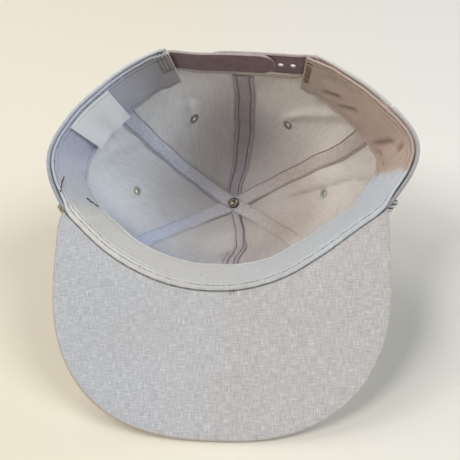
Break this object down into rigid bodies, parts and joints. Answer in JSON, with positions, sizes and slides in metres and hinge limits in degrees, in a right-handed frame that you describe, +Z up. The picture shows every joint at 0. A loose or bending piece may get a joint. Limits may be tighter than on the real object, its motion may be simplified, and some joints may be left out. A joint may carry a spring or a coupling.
{
  "type": "snap-back cap",
  "caption": "Panelled grey cap with a flat brim, a cord along the brim, a sweatband and an adjustable snap strap, lying upside down on its crown and brim tip.",
  "frame": {"origin": "on the table under the middle of the cap's box, as it lies upside down", "axes": "+Z up; +Y from the brim to the back opening; +X to the right when the brim points at the viewer"},
  "size_m": [0.2088, 0.2184, 0.142],
  "materials": {
    "crown_cloth": "light grey cotton cloth",
    "seam_tape": "heathered mid grey binding tape",
    "eyelet_thread": "grey satin-stitched thread",
    "band_cloth": "worn pale cotton sweatband",
    "label_cloth": "white woven label",
    "brim_cloth": "light grey slubbed cloth over a stiff board",
    "cord": "twisted cream cotton cord",
    "strap_plastic": "mauve-brown moulded plastic",
    "rivet_metal": "dark tarnished brass"
  },
  "bodies": {
    "root": {"panel_front_left": "crown_cloth", "panel_front_right": "crown_cloth", "panel_side_right": "crown_cloth", "panel_back_right": "crown_cloth", "panel_back_left": "crown_cloth", "panel_side_left": "crown_cloth", "seam_tape_front_back": "seam_tape", "seam_tape_left_diagonal": "seam_tape", "seam_tape_right_diagonal": "seam_tape", "eyelet_side_left": "eyelet_thread", "eyelet_side_right": "eyelet_thread", "eyelet_back_left": "eyelet_thread", "eyelet_back_right": "eyelet_thread", "sweatband": "band_cloth", "label": "label_cloth", "back_opening_binding": "seam_tape", "brim": "brim_cloth", "rope": "cord", "strap_outer": "strap_plastic", "strap_inner": "strap_plastic", "top_button": "crown_cloth", "rivet": "rivet_metal"}
  },
  "joints": []
}
